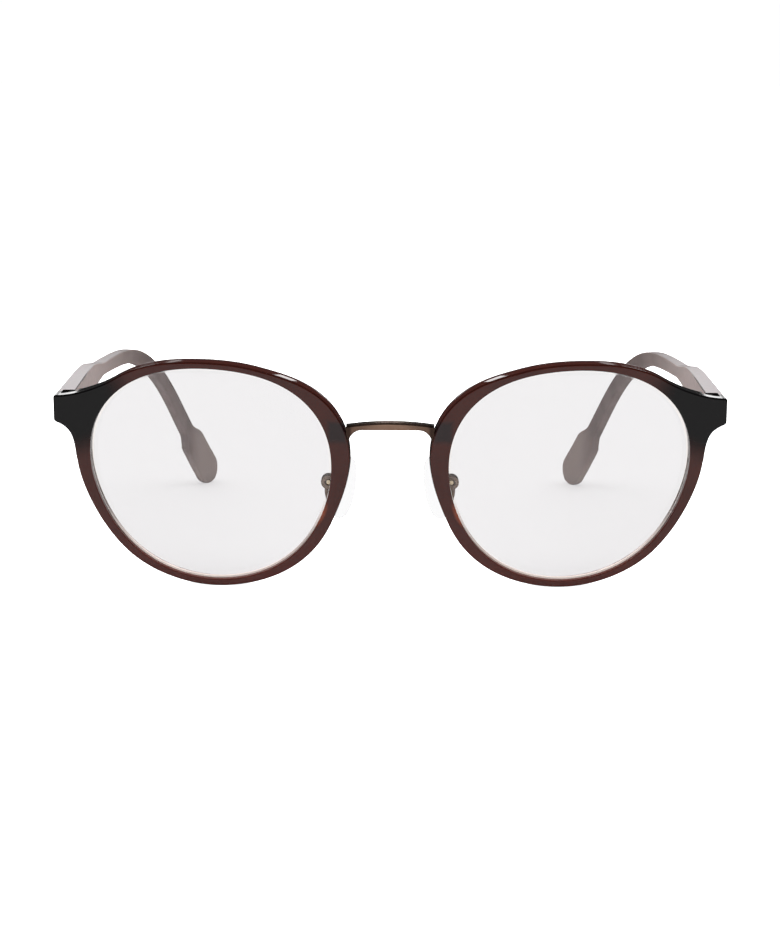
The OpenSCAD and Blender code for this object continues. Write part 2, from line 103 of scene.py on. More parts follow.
lens_w, lens_h, lens_gap = 49.7, 44.7, 22.5
lens_curve, lens_t = 130, 1.7
groove_depth, groove_lip = 0.5, 0.6
rim_depth, rim_top, rim_foot = 4.0, 1.35, 1.5
front_tilt, front_wrap, front_w = 6, 4, 135.2
front_bevel, back_bevel, wall_crown = 0.3, 0.25, 0.08
lens_x = (lens_gap + lens_w) / 2

# How far the lens outline leaves a circle, in one, two, three and four waves round it
lens_crown, lens_lift, lens_taper, lens_square = 0.031, 0.023, 0.031, 0.014

# What the rim gains in width at the nose, beside the pad, under the end piece and at its lower
# outer corner, each with the angle of its middle and half the angle it spans
rim_swells = ((2.4, 158, 47), (1.1, 205, 58), (1.6, 21, 63), (0.35, 321, 40))


def lens_shape(a):
    r = (1 + lens_crown * sind(a) + lens_lift * sind(2 * a) + lens_taper * sind(3 * a)
         - lens_square * cosd(4 * a))
    return Vector((r * cosd(a), r * sind(a)))


coarse = [lens_shape(a) for a in range(0, 360, 3)]
shape_low = Vector((min(p.x for p in coarse), min(p.y for p in coarse)))
shape_high = Vector((max(p.x for p in coarse), max(p.y for p in coarse)))
shape_mid = (shape_low + shape_high) / 2
shape_scale = (lens_w / (shape_high - shape_low).x, lens_h / (shape_high - shape_low).y)


def lens_edge(a):
    p = lens_shape(a) - shape_mid
    return Vector((p.x * shape_scale[0], p.y * shape_scale[1]))


def lens_normal(a):
    return outward(lens_edge(a + 1) - lens_edge(a - 1))


def opening(a):
    return lens_edge(a) - lens_normal(a) * groove_depth


def limb(a):
    """Width of the rim at an angle."""
    width = rim_top + (rim_foot - rim_top) * (1 - sind(a)) / 2
    for gain, middle, half in rim_swells:
        width += gain * hump(a, middle, half)
    return width


def ring_edge(a):
    return opening(a) + lens_normal(a) * limb(a)


def ring_heading(a):
    return (ring_edge(a + 1) - ring_edge(a - 1)).normalized()


# The end piece: its height, how high it sits, and the angles between which it leaves the ring
lug_h, lug_rise = 5.5, 13
lug_from, lug_to = 8, 48
lug_reach = (front_w / 2 - lens_x) / cosd(front_wrap)
lug_top, lug_foot = lug_rise + lug_h / 2, lug_rise - lug_h / 2
lug_top_r, lug_foot_r, lug_foot_slope = 0.35, 0.8, 22
lug_foot_pull, lug_top_pull = (4.4, 3.2), (4.5, 3.4)
lug_foot_centre = (lug_reach - lug_foot_r, lug_foot + lug_foot_r)
lug_top_centre = (lug_reach - lug_top_r, lug_top - lug_top_r)
lug_foot_end = arc(lug_foot_centre, lug_foot_r, lug_foot_slope - 90)
lug_top_end = arc(lug_top_centre, lug_top_r, 90)

# Marks along the end piece's outline: where its foot curve, foot corner, end, top corner and
# top curve stop, counted from 0
foot_curve, foot_corner, end_face, top_corner, top_curve = 8, 10, 11, 13, 21


def lug_point(f):
    """Outline of the end piece, from its foot's root at 0 to its top's root at the last mark."""
    if f < foot_curve:
        start, way = ring_edge(lug_from), ring_heading(lug_from)
        slope = Vector((cosd(lug_foot_slope), sind(lug_foot_slope)))
        return bezier(start, start + lug_foot_pull[0] * way,
                      lug_foot_end - lug_foot_pull[1] * slope, lug_foot_end, f / foot_curve)
    if f <= foot_corner:
        left = (foot_corner - f) / (foot_corner - foot_curve)
        return arc(lug_foot_centre, lug_foot_r, (lug_foot_slope - 90) * left)
    if f < end_face:
        low = arc(lug_foot_centre, lug_foot_r, 0)
        return low.lerp(arc(lug_top_centre, lug_top_r, 0), f - foot_corner)
    if f <= top_corner:
        return arc(lug_top_centre, lug_top_r, 90 * (f - end_face) / (top_corner - end_face))
    finish, way = ring_edge(lug_to), ring_heading(lug_to)
    return bezier(lug_top_end, lug_top_end - Vector((lug_top_pull[1], 0)),
                  finish - lug_top_pull[0] * way, finish,
                  (f - top_corner) / (top_curve - top_corner))


lug_steps = (spread(0, foot_curve, 24) + spread(foot_curve, foot_corner, 8)
             + spread(foot_corner, end_face, 6) + spread(end_face, top_corner, 8)
             + spread(top_corner, top_curve, 32) + [top_curve])
stations = [(lug_point(f), lug_from + (lug_to - lug_from) * f / top_curve) for f in lug_steps]
stations += [(ring_edge(a), a) for a in range(lug_to + 1, lug_from + 360)]
outer = [p for p, _ in stations]


def outer_normal(i):
    return outward(outer[(i + 1) % len(outer)] - outer[i - 1])


def sag(r):
    return lens_curve - math.sqrt(lens_curve ** 2 - r * r)


edge_sag = sag((lens_w + lens_h) / 4)


def groove_y(p):
    return rim_depth / 2 + sag(p.length) - edge_sag


# Places in the row frame ----------------------------------------------------------------------

foot_z = front_bevel * sind(front_tilt) + min(
    p.x * sind(front_wrap) * sind(front_tilt) + p.y * cosd(front_tilt) for p in outer)


def on_rim(x, y, z):
    """A place given as x towards the temple, y back from the front and z above the lens middle."""
    wide = lens_x + x * cosd(front_wrap) - y * sind(front_wrap)
    back = x * sind(front_wrap) + y * cosd(front_wrap)
    return Vector((wide, back * cosd(front_tilt) - z * sind(front_tilt),
                   back * sind(front_tilt) + z * cosd(front_tilt) - foot_z))


# The hinge: where the temple meets the end piece, the screw's axis and the slots round the hinge
joint_gap = 0.12
joint = on_rim(lug_reach, rim_depth, lug_rise)
pin_inset, pin_back = 3, 0.6
pin = on_rim(lug_reach - pin_inset, rim_depth + pin_back, lug_rise)
barrel_d, barrel_play, hinge_skin = 2.3, 0.3, 1
slot_out = joint.x - hinge_skin - pin.x
slot_in = barrel_d / 2 + barrel_play
front_leaf, temple_leaf = 2.6, 2.2

# Temple path, on the side of it that faces the head
temple_len, butt_h, butt_t, slim_h, slim_t = 141, 5.3, 3.5, 2.8, 2.8
ear_h, ear_t, tip_h, tip_t, tip_len = 4, 2.2, 7.8, 2, 18
butt_len, step_len, bend_start, bend_len, bend_angle = 44, 14, 69.5, 50, 51
temple_flare, temple_turn, straight_len, droop_len = 1.8, 30.6, 33, 6
back_shoulder, front_shoulder, overlap_len, tip_thinning = 5.5, 4, 3, 0.25
temple_root = Vector((joint.x - butt_t, joint.y, joint.z))
slim_from, tip_from, tip_r = butt_len + step_len, temple_len - tip_len, tip_h / 2
round_from = temple_len - tip_r
last_tip_angle = 88
temple_steps = (spread(-overlap_len, butt_len, 60) + spread(butt_len, slim_from, 24)
                + spread(slim_from, tip_from, 90) + spread(tip_from, round_from, 32)
                + [round_from + tip_r * sind(a) for a in (*range(0, 90, 6), last_tip_angle)])

# The temple's edges: radius in front and behind, where it grows, and its largest share of a side
crisp_r, edge_r, crisp_to, soft_from, edge_share = 0.28, 0.55, 75, 95, 0.45


def along(s, droop):
    """The temple's direction at a length from its root, and the direction towards the head."""
    turned = (temple_turn + temple_flare) * max(0, s - straight_len) / (temple_len - straight_len)
    h = turned - temple_flare
    p = (droop * smooth((s - butt_len) / droop_len)
         - bend_angle * smooth((s - bend_start) / bend_len))
    return (Vector((-sind(h) * cosd(p), cosd(h) * cosd(p), sind(p))),
            Vector((-cosd(h), -sind(h), 0)))


def shoulder(s, length):
    return (tip_h - ear_h) / 2 * smooth((s - tip_from) / length)


def temple_height(s):
    if s > round_from:
        return 2 * math.sqrt(max(0, tip_r ** 2 - (s - round_from) ** 2))
    return (butt_h + (slim_h - butt_h) * smooth((s - butt_len) / step_len)
            + (ear_h - slim_h) * taper(s, slim_from, tip_from)
            + shoulder(s, back_shoulder) + shoulder(s, front_shoulder))


def temple_thickness(s):
    return (butt_t + (slim_t - butt_t) * taper(s, 0, slim_from)
            + (ear_t - slim_t) * taper(s, slim_from, tip_from)
            + (tip_t - ear_t) * smooth((s - tip_from) / front_shoulder)
            - tip_t * tip_thinning * smooth((s - round_from) / tip_r))


def rounded(w, h, r, n=6):
    """Rectangle w by h with round corners of n steps, from x = 0 to w, as x and y pairs."""
    corners = ((w - r, h / 2 - r, 0), (r, h / 2 - r, 90),
               (r, r - h / 2, 180), (w - r, r - h / 2, 270))
    return [(x + r * cosd(a + 90 * k / n), y + r * sind(a + 90 * k / n))
            for x, y, a in corners for k in range(n + 1)]


def temple_rings(droop):
    rings, p = [], temple_root - overlap_len * along(0, droop)[0]
    for i, s in enumerate(temple_steps):
        ahead, side = along(s, droop)
        up = ahead.cross(side)
        h, t = temple_height(s), temple_thickness(s)
        lift = (shoulder(s, back_shoulder) - shoulder(s, front_shoulder)) / 2
        r = min(crisp_r + (edge_r - crisp_r) * smooth(taper(s, crisp_to, soft_from)),
                edge_share * min(t, h))
        rings.append([p - x * side + (y + lift) * up for x, y in rounded(t, h, r)])
        if i + 1 < len(temple_steps):
            after = temple_steps[i + 1]
            p = p + (after - s) * along((s + after) / 2, droop)[0]
    return rings


# The droop that sets the tip on the table, in degrees
temple_droop = 0
for _ in range(4):
    lowest = min(p.z for ring in temple_rings(temple_droop) for p in ring)
    temple_droop -= lowest / math.radians(temple_len - butt_len)
temple_solid = temple_rings(temple_droop)
mid_y = (min(on_rim(p.x, 0, p.y).y for p in outer)
         + max(p.y for ring in temple_solid for p in ring)) / 2


# Meshes ---------------------------------------------------------------------------------------

def new_piece(name, bm):
    """Makes an object of a finished bmesh."""
    mesh = bpy.data.meshes.new(name)
    bm.to_mesh(mesh)
    bm.free()
    piece = bpy.data.objects.new(name, mesh)
    bpy.context.scene.collection.objects.link(piece)
    return piece


def loft(name, rings, side, loop=False):
    """Closed solid through rings of points in millimetres, on the left or mirrored to the right."""
    bm = bmesh.new()
    rows = [[bm.verts.new((side * p[0] * MM, (p[1] - mid_y) * MM, p[2] * MM)) for p in ring]
            for ring in rings]
    m = len(rows[0])
    pairs = list(zip(rows, rows[1:])) + ([(rows[-1], rows[0])] if loop else [])
    for a, b in pairs:
        for j in range(m):
            bm.faces.new((a[j], a[(j + 1) % m], b[(j + 1) % m], b[j]))
    if not loop:
        bm.faces.new(rows[0])
        bm.faces.new(rows[-1])
    bmesh.ops.recalc_face_normals(bm, faces=bm.faces)
    return new_piece(name, bm)


def block(low, high, place, side):
    """Box between two corners in millimetres; place turns its corners into row places."""
    xs, ys, zs = zip(low, high)
    corners = [(0, 0), (1, 0), (1, 1), (0, 1)]
    return loft("cutter", [[place(Vector((xs[i], ys[j], zs[k]))) for i, j in corners]
                           for k in (0, 1)], side)


def disc(name, centre, axis, radii, side, n=64):
    """Turned solid: pairs of height and radius along an axis through centre."""
    axis = Vector(axis)
    u = axis.orthogonal().normalized()
    v = axis.cross(u)
    rings = []
    for h, r in radii:
        rings.append([Vector(centre) + h * axis
                      + r * (cosd(360 * k / n) * u + sind(360 * k / n) * v) for k in range(n)])
    return loft(name, rings, side)


def carve(piece, cutters, operation="DIFFERENCE"):
    """Cuts the cutters out of a piece, or joins them to it, and drops them."""
    for cutter in cutters:
        cut = piece.modifiers.new("cut", "BOOLEAN")
        cut.object, cut.operation, cut.solver = cutter, operation, "EXACT"
    graph = bpy.context.evaluated_depsgraph_get()
    mesh = bpy.data.meshes.new_from_object(piece.evaluated_get(graph))
    piece.modifiers.clear()
    piece.data = mesh
    for cutter in cutters:
        bpy.data.objects.remove(cutter)


def round_edges(piece, width, angle=40):
    bevel = piece.modifiers.new("round edges", "BEVEL")
    bevel.width, bevel.segments = width * MM, 3
    bevel.limit_method, bevel.angle_limit = "ANGLE", math.radians(angle)
    bevel.harden_normals = True


def shade(piece, material, angle):
    """Smooth faces that break only at edges sharper than angle, and a finish if there is none."""
    mesh = piece.data
    if not mesh.materials:
        mesh.materials.append(material)
    for face in mesh.polygons:
        face.use_smooth = True
    mesh.set_sharp_from_angle(angle=math.radians(angle))
    weigh = piece.modifiers.new("weigh normals", "WEIGHTED_NORMAL")
    weigh.keep_sharp = True


def finish_piece(piece, body, material, nodes, angle=35):
    shade(piece, material, angle)
    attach(piece, body)
    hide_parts(*nodes)


# Finishes: places in metres, x from the middle, y back, z up from the table -------------------

noise_shift = (0.0371, 0.0213, 0.0119)
black_at, black_size = (0.0665, 0.038), (0.0125, 0.0095)
tab_at, tab_size = (0.0106, 0.0325), (0.0019, 0.0022)
# Painted orange glow on the rim: its middle, half sizes and the way of its long axis
glow_at, glow_size, glow_way = (0.0140, 0.0153), (0.0009, 0.0027), (0.90, 0.44)
# Heights where the painted floor light at the rim's foot fades, and where the painted dark bevel
# reflection at its top grows
rim_floor_light_z, rim_top_z = (0.001, 0.018), (0.030, 0.038)
# Facing ranges between which the painted dark reflection on the rim's front bevel lies
bevel_from, bevel_to = (-0.95, -0.80), (-0.40, -0.15)
# Where the temple's painted light at the front fades, where the tip lightens, and where the painted
# shade line fades
temple_lit_front_y, temple_tip_y, shade_line_fade_y = (-0.034, 0.049), (0.053, 0.060), (-0.036, -0.021)
# Strength of the temple's painted glow, and the soft edge of the painted shade in the hinge slot
temple_glow, slot_shade_soft = 0.10, (0.00003, 0.0001)
# Heights where the lens edge turns clear and where its painted glow fades
lens_foot_clear_z, lens_foot_glow_z = (0.008, 0.020), (0.004, 0.018)
# Where the painted shade on the bridge grows, across it and at the height of its bar
bridge_dark_x, bridge_patch_x, bridge_root_x = (0.0010, 0.0078), (0.0070, 0.0084), (0.0070, 0.0082)
bridge_bar_z = (0.0328, 0.0334)


class Finish:
    """A material with one Principled shader and short calls for the nodes that feed it."""

    def __init__(self, name, **sockets):
        self.material = bpy.data.materials.new(name)
        self.material.use_nodes = True
        self.tree = self.material.node_tree
        self.shader = self.tree.nodes["Principled BSDF"]
        self.output = self.tree.nodes["Material Output"]
        for socket, value in sockets.items():
            self.shader.inputs[socket.replace("_", " ")].default_value = value
        self.place = self.add("ShaderNodeTexCoord").outputs["Object"]

    def add(self, kind, inputs=(), **settings):
        node = self.tree.nodes.new(kind)
        for key, value in settings.items():
            setattr(node, key, value)
        for key, value in dict(inputs).items():
            self.feed(node.inputs[key], value)
        return node

    def feed(self, socket, value):
        if isinstance(value, bpy.types.NodeSocket):
            self.tree.links.new(value, socket)
        else:
            socket.default_value = value

    def set(self, name, value):
        self.feed(self.shader.inputs[name], value)

    def math(self, operation, a, b=0.0, c=0.0):
        return self.add("ShaderNodeMath", {0: a, 1: b, 2: c}, operation=operation).outputs[0]

    def times(self, a, b):
        return self.math("MULTIPLY", a, b)

    def off(self, value, middle, half):
        """How far value lies beyond middle, counted in halves of a width."""
        return self.math("DIVIDE", self.math("SUBTRACT", value, middle), half)

    def split(self, vector):
        """The three parts of a vector."""
        return self.add("ShaderNodeSeparateXYZ", {0: vector}).outputs

    def ellipse(self, x, z, centre, size, way=(1, 0)):
        """Distance from centre, 1 on the ellipse whose half-axes lie along way and across it."""
        wide = self.math("SUBTRACT", x, centre[0])
        high = self.math("SUBTRACT", z, centre[1])
        ahead = self.math("ADD", self.times(wide, way[0]), self.times(high, way[1]))
        aside = self.math("SUBTRACT", self.times(high, way[0]), self.times(wide, way[1]))
        a = self.math("DIVIDE", ahead, size[0])
        b = self.math("DIVIDE", aside, size[1])
        return self.math("SQRT", self.math("ADD", self.times(a, a), self.times(b, b)))

    def noise(self, scale, detail=3.0, stretch=(1, 1, 1), roughness=0.5):
        spot = self.add("ShaderNodeVectorMath", {0: self.place, 1: stretch, 2: noise_shift},
                        operation="MULTIPLY_ADD").outputs[0]
        return self.add("ShaderNodeTexNoise", {"Vector": spot, "Scale": scale, "Detail": detail,
                                               "Roughness": roughness}).outputs["Fac"]

    def facing(self, axis):
        """How far the surface faces along one of the piece's own axes."""
        return self.split(self.add("ShaderNodeTexCoord").outputs["Normal"])[axis]

    def ramp(self, value, start, end, low=0.0, high=1.0):
        """Smooth step of value from low at start to high at end."""
        return self.add("ShaderNodeMapRange", {"Value": value, "From Min": start, "From Max": end,
                                               "To Min": low, "To Max": high},
                        interpolation_type="SMOOTHSTEP").outputs["Result"]

    def blend(self, share, a, b):
        """Colour a where share is 0 and b where it is 1; the mix node's colours are 6, 7 and 2."""
        mix = self.add("ShaderNodeMix", data_type="RGBA")
        self.feed(mix.inputs["Factor"], share)
        self.feed(mix.inputs[6], a)
        self.feed(mix.inputs[7], b)
        return mix.outputs[2]

    def roughness(self, grain, start, end, low, high):
        self.set("Roughness", self.ramp(grain, start, end, low, high))

    def bump(self, height, distance, strength):
        """Unevenness of so many millimetres."""
        bump = self.add("ShaderNodeBump", {"Strength": strength, "Distance": distance * MM,
                                           "Height": height})
        self.set("Normal", bump.outputs["Normal"])

    def let_light_through(self, share):
        """Shadow rays pass, so that what stands behind a clear piece stays lit."""
        clear = self.add("ShaderNodeBsdfTransparent", {"Color": (1, 1, 1, 1)})
        rays = self.add("ShaderNodeLightPath").outputs["Is Shadow Ray"]
        mix = self.add("ShaderNodeMixShader", {0: self.times(rays, share),
                                               1: self.shader.outputs[0], 2: clear.outputs[0]})
        self.feed(self.output.inputs["Surface"], mix.outputs[0])


def rim_plastic():
    """Red-brown plastic, black at the end pieces and darker where a tab of the bridge is inside,
    with painted light: lighter towards the foot, a painted orange glow near the lower nose side and
    a painted dark reflection along the front bevel of its upper half.
    """
    f = Finish("dark brown plastic")
    spot = f.split(f.place)
    x, z = f.math("ABSOLUTE", spot["X"]), spot["Z"]
    cloud = f.ramp(f.noise(260, 4), 0.3, 0.7)
    deep = f.blend(cloud, (0.085, 0.0142, 0.0085, 1), (0.100, 0.0172, 0.0100, 1))
    # Painted light from the floor in front: the rim turns lighter towards its foot
    brown = f.blend(f.ramp(z, *rim_floor_light_z, 1.0, 0.0), deep, (0.150, 0.032, 0.023, 1))

    beside = f.math("ABSOLUTE", f.off(x, tab_at[0], tab_size[0]))
    above = f.math("ABSOLUTE", f.off(z, tab_at[1], tab_size[1]))
    tab = f.ramp(f.math("MAXIMUM", beside, above), 0.6, 1.3, 0.85, 0.0)
    tinted = f.blend(tab, brown, (0.020, 0.013, 0.015, 1))

    # Painted orange glow near the lower nose side, where light would shine through the plastic
    glow = f.ramp(f.ellipse(x, z, glow_at, glow_size, glow_way), 0.4, 1.3, 0.8, 0.0)
    lit = f.blend(glow, tinted, (0.50, 0.105, 0.038, 1))

    # Painted dark reflection on the front bevel, towards the rim's top
    ahead = f.facing("Y")
    bevel = f.times(f.ramp(ahead, *bevel_from), f.ramp(ahead, *bevel_to, 1.0, 0.0))
    painted_bevel_shade = f.times(bevel, f.ramp(z, *rim_top_z, 0.0, 0.6))
    lined = f.blend(painted_bevel_shade, lit, (0.012, 0.002, 0.001, 1))

    black = f.ramp(f.ellipse(x, z, black_at, black_size), 0.75, 1.45, 1.0, 0.0)
    f.set("Base Color", f.blend(black, lined, (0.0045, 0.0038, 0.0042, 1)))
    f.set("Specular IOR Level", f.ramp(black, 0.0, 1.0, 0.5, 0.3))
    f.roughness(f.noise(900, 5), 0.25, 0.75, 0.05, 0.09)
    f.bump(f.noise(3500, 3), 0.002, 0.10)
    return f.material


def temple_plastic(name, shade_line_tone=1.0):
    """Translucent cloudy taupe plastic, lighter towards the tip, with painted light: lighter and
    glowing towards the front and a tone of its own on faces that look up, and painted shade in the
    hinge slot; a tone below 1 paints shade towards the front.
    """
    f = Finish(name, Specular_IOR_Level=0.4, Subsurface_Weight=0.15, Subsurface_Scale=0.001,
               Subsurface_Radius=(1.0, 0.7, 0.6), Emission_Color=(1, 0.82, 0.79, 1))
    spot = f.split(f.place)
    x, y = f.math("ABSOLUTE", spot["X"]), spot["Y"]
    cloud = f.ramp(f.noise(180, 4), 0.3, 0.7)
    taupe = f.blend(cloud, (0.25, 0.190, 0.182, 1), (0.32, 0.246, 0.235, 1))
    tip = f.blend(f.ramp(y, *temple_tip_y), taupe, (0.47, 0.375, 0.350, 1))

    # Painted light towards the front, as where light shines through the plastic; faces that look up
    # get a painted tone of their own
    front = f.ramp(y, *temple_lit_front_y, 1.0, 0.0)
    top = f.ramp(f.facing("Z"), 0.6, 0.9)
    painted_face_light = f.blend(top, (0.90, 0.765, 0.74, 1), (0.70, 0.66, 0.68, 1))
    lit = f.blend(front, tip, painted_face_light)
    # Painted shade line: a tone below 1 darkens the colour towards the front
    shaded = f.blend(f.ramp(y, *shade_line_fade_y, shade_line_tone, 1.0), (0.03, 0.02, 0.02, 1), lit)

    # Painted shade inside the hinge slot, which also takes the painted glow away there
    slot_y, slot_x = (pin.y + temple_leaf - mid_y) * MM, (pin.x + slot_out) * MM
    inside = f.times(f.ramp(y, slot_y + slot_shade_soft[0], slot_y + slot_shade_soft[1], 1.0, 0.0),
                     f.ramp(x, slot_x + slot_shade_soft[0], slot_x + slot_shade_soft[1], 1.0, 0.0))
    f.set("Base Color", f.blend(inside, shaded, (0.012, 0.009, 0.009, 1)))
    # Painted glow towards the front, though the plastic is no lamp
    glow = f.ramp(front, 0.0, 1.0, 0.0, temple_glow * shade_line_tone)
    f.set("Emission Strength", f.times(glow, f.math("SUBTRACT", 1.0, inside)))
    f.roughness(f.noise(800, 5), 0.25, 0.75, 0.20, 0.26)
    f.bump(f.noise(3000, 3), 0.002, 0.12)
    return f.material


def lens_plastic():
    """Clear lens with the faint unevenness of a wiped surface."""
    f = Finish("clear lens", Base_Color=(0.885, 0.872, 0.88, 1), IOR=1.5, Transmission_Weight=1.0)
    f.roughness(f.noise(90, 6, roughness=0.7), 0.45, 0.8, 0.0, 0.012)
    f.let_light_through(0.95)
    return f.material


def lens_edge_finish():
    """The ground edge of the lens, less clear towards its foot, with a painted glow there."""
    f = Finish("bright lens edge", Base_Color=(0.97, 0.93, 0.905, 1), IOR=1.5,
               Emission_Color=(1, 0.86, 0.78, 1))
    z = f.split(f.place)["Z"]
    f.set("Transmission Weight", f.ramp(z, *lens_foot_clear_z, 0.1, 1.0))
    # Painted glow along the foot of the lens edge
    f.set("Emission Strength", f.ramp(z, *lens_foot_glow_z, 0.26, 0.0))
    f.roughness(f.noise(400, 4), 0.3, 0.7, 0.05, 0.15)
    f.let_light_through(0.7)
    return f.material


def silicone():
    """Soft clear silicone, slightly milky."""
    f = Finish("clear silicone", Base_Color=(0.965, 0.965, 0.968, 1), IOR=1.035,
               Transmission_Weight=1.0)
    f.roughness(f.noise(700, 4), 0.3, 0.7, 0.12, 0.2)
    f.let_light_through(0.95)
    return f.material


def bridge_shade(f, tone):
    """Painted shade on the bridge's tone: darker towards the rims and most of all where the bar
    meets them.
    """
    spot = f.split(f.place)
    x = f.math("ABSOLUTE", spot["X"])
    patch = f.times(f.ramp(x, *bridge_patch_x), f.ramp(spot["Z"], *bridge_bar_z))
    share = f.times(f.ramp(x, *bridge_dark_x), f.math("MULTIPLY_ADD", patch, 0.4, 0.5))
    share = f.math("MAXIMUM", share, f.ramp(x, *bridge_root_x, 0.0, 0.93))
    return f.blend(share, tone, (0.04, 0.024, 0.019, 1))


def metal(name, light, dark, low, high, stretch=(1, 1, 1), shading=None):
    """Metal with brushed or cast unevenness in colour, gloss and height."""
    f = Finish(name, Metallic=1.0)
    grain = f.noise(1500, 5, stretch, 0.6)
    tone = f.blend(f.ramp(grain, 0.3, 0.7), dark, light)
    f.set("Base Color", shading(f, tone) if shading else tone)
    f.roughness(f.noise(700, 4), 0.25, 0.75, low, high)
    f.bump(grain, 0.003, 0.4)
    return f.material


RIM = rim_plastic()
TEMPLE = temple_plastic("taupe plastic")
# Finish for the painted shade line along the temple's top inner edge
TEMPLE_SHADE_LINE = temple_plastic("taupe plastic shade line", 0.2)
LENS = lens_plastic()
LENS_EDGE = lens_edge_finish()
SILICONE = silicone()
BRONZE = metal("brown coated metal", (0.365, 0.228, 0.165, 1), (0.295, 0.182, 0.131, 1),
               0.18, 0.28, (0.15, 1, 1), bridge_shade)
ARM = metal("bronze wire", (0.295, 0.22, 0.172, 1), (0.19, 0.138, 0.11, 1), 0.25, 0.4)
GOLD = metal("gold-coloured metal", (0.84, 0.73, 0.54, 1), (0.76, 0.64, 0.43, 1), 0.16, 0.3)
STEEL = metal("satin steel", (0.72, 0.72, 0.72, 1), (0.6, 0.6, 0.61, 1), 0.25, 0.4)
HINGE = metal("dark hinge metal", (0.075, 0.07, 0.07, 1), (0.045, 0.042, 0.042, 1), 0.28, 0.42)


# Rims and lenses ------------------------------------------------------------------------------

def rim_ring(i):
    """Section of the rim: its inner wall with the groove, then its crowned outer wall."""
    edge, a = stations[i]
    p, n, m = opening(a), lens_normal(a), outer_normal(i)
    g = groove_y(lens_edge(a))
    inner = quarter(back_bevel)
    inner += [(0, g - groove_lip), (groove_depth, g), (0, g + groove_lip)]
    inner += [(d, rim_depth - c) for c, d in quarter(back_bevel)]
    crown = wall_crown * smooth(abs(2 * a - lug_from - lug_to) / (lug_to - lug_from) - 2)
    wall = [(crown + c, rim_depth - d) for c, d in quarter(back_bevel)[:-1]]
    for t in (k / 4 for k in range(-4, 5)):
        wall.append((crown * t ** 2, rim_depth / 2 - t * (rim_depth / 2 - back_bevel)))
    wall += [(crown + d, c) for c, d in quarter(front_bevel)[1:]]
    places = [(p + grow * n, depth) for grow, depth in inner]
    places += [(edge - shrink * m, depth) for shrink, depth in wall]
    return [on_rim(w.x, depth, w.y) for w, depth in places]


def make_rim(name, side):
    rim = loft("rim_" + name, [rim_ring(i) for i in range(len(stations))], side, loop=True)
    notch = block((pin.x - slot_in, pin.y - front_leaf, pin.z - THROUGH),
                  (pin.x + slot_out, pin.y + THROUGH, pin.z + THROUGH), Vector, side)
    carve(rim, [notch])
    finish_piece(rim, "front", RIM, ["rim_" + name])
    return rim


lens_fit, bevel_half, bright_from = 0.07, 0.5, 0.984
lens_shares = (0.02, 0.12, 0.25, 0.4, 0.55, 0.7, 0.82, 0.92, bright_from, 1)


def make_lens(name, side):
    angles = [a for _, a in stations]

    def face(share, depth):
        ring = []
        for a in angles:
            p = share * (opening(a) - lens_fit * lens_normal(a))
            ring.append(on_rim(p.x, rim_depth / 2 + sag(p.length) - edge_sag + depth, p.y))
        return ring

    def edge(grow, depth):
        ring = []
        for a in angles:
            p = opening(a) + (grow - lens_fit) * lens_normal(a)
            ring.append(on_rim(p.x, groove_y(lens_edge(a)) + depth, p.y))
        return ring

    rings = [face(share, -lens_t / 2) for share in lens_shares]
    rings += [edge(0, -bevel_half), edge(groove_depth, 0), edge(0, bevel_half)]
    rings += [face(share, lens_t / 2) for share in reversed(lens_shares)]
    lens = loft("lens_" + name, rings, side)
    finish_piece(lens, "front", LENS, ["lens_" + name], angle=25)
    lens.data.materials.append(LENS_EDGE)
    first, last = len(lens_shares) - 2, len(lens_shares) + 4
    for i in range(first * len(angles), last * len(angles)):
        lens.data.polygons[i].material_index = 1


# Bridge ---------------------------------------------------------------------------------------

bridge_mid_h, bridge_end_h, bridge_depth, bridge_rise = 1.6, 1.0, 2.4, 9.9
tab_len, tab_h, tab_t, tab_skin, tab_lift, tab_angle = 2.5, 3.9, 0.9, 0.35, 0.1, 163
gusset, bridge_edge_r, bridge_sink, bridge_seam = 2.65, 0.4, 0.5, 0.001
bridge_shares = (0.2, 0.4, 0.6, 0.8, 0.93)
tab_edge = ring_edge(tab_angle).x
tab_top = bridge_rise + tab_lift
bridge_end = on_rim(tab_edge, rim_depth / 2, bridge_rise)
bridge_z = on_rim(tab_edge, 0, bridge_rise).z
bridge_side = bridge_end.x


def bridge_ring(x):
    """Section of the bar, whose foot drops in a fillet as long as the gusset at each end."""
    q = min(1, abs(x) / bridge_side)
    f = clamp((abs(x) - bridge_side + gusset) / gusset)
    low = -gusset * (1 - math.sqrt(1 - f * f))
    top = bridge_end_h + (bridge_mid_h - bridge_end_h) * (1 - q * q)
    ring = []
    for w, h in rounded(bridge_depth, top - low, bridge_edge_r):
        y, z = bridge_depth / 2 - w, h + (top + low) / 2
        ring.append(Vector((x, bridge_end.y + y * cosd(front_tilt) - z * sind(front_tilt),
                            bridge_z + y * sind(front_tilt) + z * cosd(front_tilt))))
    return ring


def make_bridge():
    half = [0] + [(bridge_side - gusset) * share for share in bridge_shares]
    half += [bridge_side - gusset * (1 - sind(t)) for t in range(0, 90, 9)]
    half += [bridge_side - bridge_seam, bridge_side + bridge_sink]
    bar = loft("bridge", [bridge_ring(x) for x in [-x for x in reversed(half[1:])] + half], 1)
    tabs = []
    for side in SIDES.values():
        low = (tab_edge + tab_skin, (rim_depth - tab_t) / 2, tab_top - tab_h)
        high = (tab_edge + tab_len, (rim_depth + tab_t) / 2, tab_top)
        tabs.append(block(low, high, lambda p: on_rim(*p), side))
    carve(bar, tabs, "UNION")
    finish_piece(bar, "front", BRONZE, ["bridge"])
    return bar


# Nose pads and their arms ---------------------------------------------------------------------

